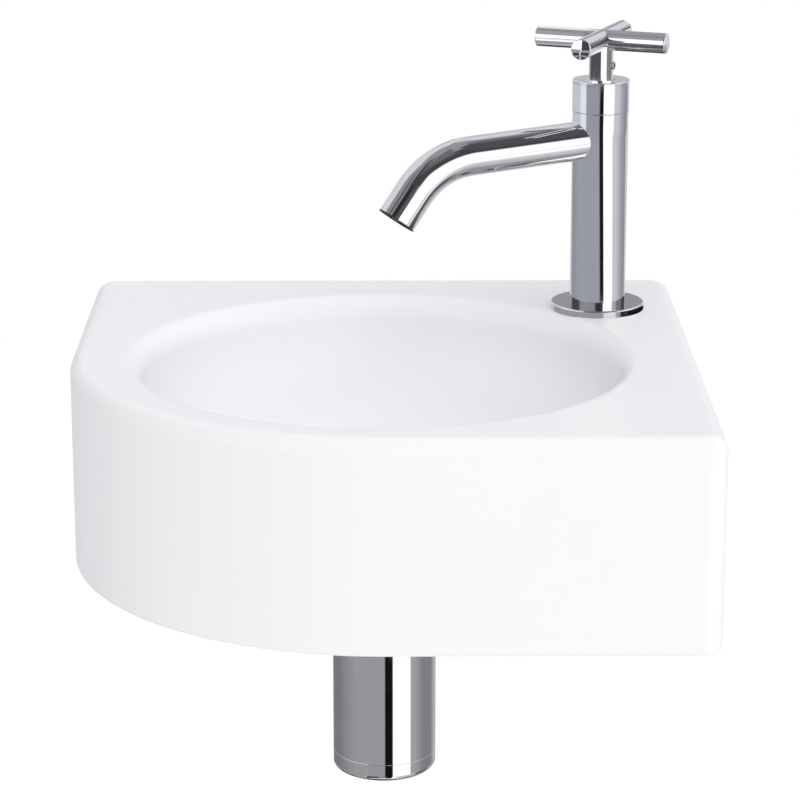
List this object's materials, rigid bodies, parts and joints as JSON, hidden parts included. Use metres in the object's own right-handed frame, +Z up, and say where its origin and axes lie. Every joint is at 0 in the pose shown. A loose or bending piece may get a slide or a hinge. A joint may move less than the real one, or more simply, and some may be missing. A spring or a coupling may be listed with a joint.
{
  "type": "corner hand basin with tap",
  "caption": "Small corner hand basin with a round bowl, a pillar tap with a cross handle and bent spout, a strainer waste and a bottle trap.",
  "frame": {"origin": "midway between the axes of the two wall bolt holes, on the basin's back face", "axes": "+X along the back wall towards the second wall, +Y into the back wall, +Z up"},
  "size_m": [0.3, 0.33, 0.3507],
  "materials": {
    "glaze": "smooth white glaze with a soft gloss",
    "chrome": "polished chrome plate",
    "brass": "turned brass",
    "rubber": "matte black rubber",
    "white_plastic": "moulded white plastic",
    "disc_ceramic": "lapped technical ceramic",
    "steel": "stainless steel"
  },
  "bodies": {
    "fixed": {"basin": "glaze", "tap_flange": "chrome", "flange_seal": "rubber", "tap_column": "chrome", "spout": "chrome", "aerator_ring": "chrome", "aerator_grid": "white_plastic", "bonnet": "chrome", "valve_body": "brass", "valve_seal": "rubber", "fixed_disc": "disc_ceramic", "spindle_seal": "rubber", "tap_shank": "brass", "centring_collar": "white_plastic", "rubber_washer": "rubber", "metal_washer": "steel", "tap_backnut": "brass", "strainer_plate": "chrome", "strainer_seal": "rubber", "strainer_screw": "steel", "waste_tail": "chrome", "tail_seal": "rubber", "trap_inlet_nut": "chrome", "trap_inlet_seal": "rubber", "dip_tube": "white_plastic", "trap_body": "chrome", "outlet_nut": "chrome", "outlet_seal": "rubber", "outlet_pipe": "chrome", "wall_rosette": "chrome"},
    "handle": {"cross_handle": "chrome", "grub_screw": "steel", "spindle": "brass", "moving_disc": "disc_ceramic"},
    "cup_seal": {"cup_seal": "rubber"},
    "cup": {"trap_cup": "chrome"}
  },
  "joints": [
    {"name": "handle_turn", "type": "hinge", "parent": "fixed", "child": "handle", "pos_m": [0.1085, -0.064, 0.19], "axis": [0, 0, 1], "range_deg": [0, 90]},
    {"name": "cup_drop", "type": "slide", "parent": "fixed", "child": "cup_seal", "axis": [0, 0, -1], "range_m": [0, 0.008]},
    {"name": "cup_turn", "type": "hinge", "parent": "cup_seal", "child": "cup", "pos_m": [0, -0.159, -0.14], "axis": [0, 0, -1], "range_deg": [0, 1440]}
  ],
  "couplings": [
    {"joint": "cup_turn", "follows": "cup_drop", "rad_per_m": 3141.6}
  ]
}
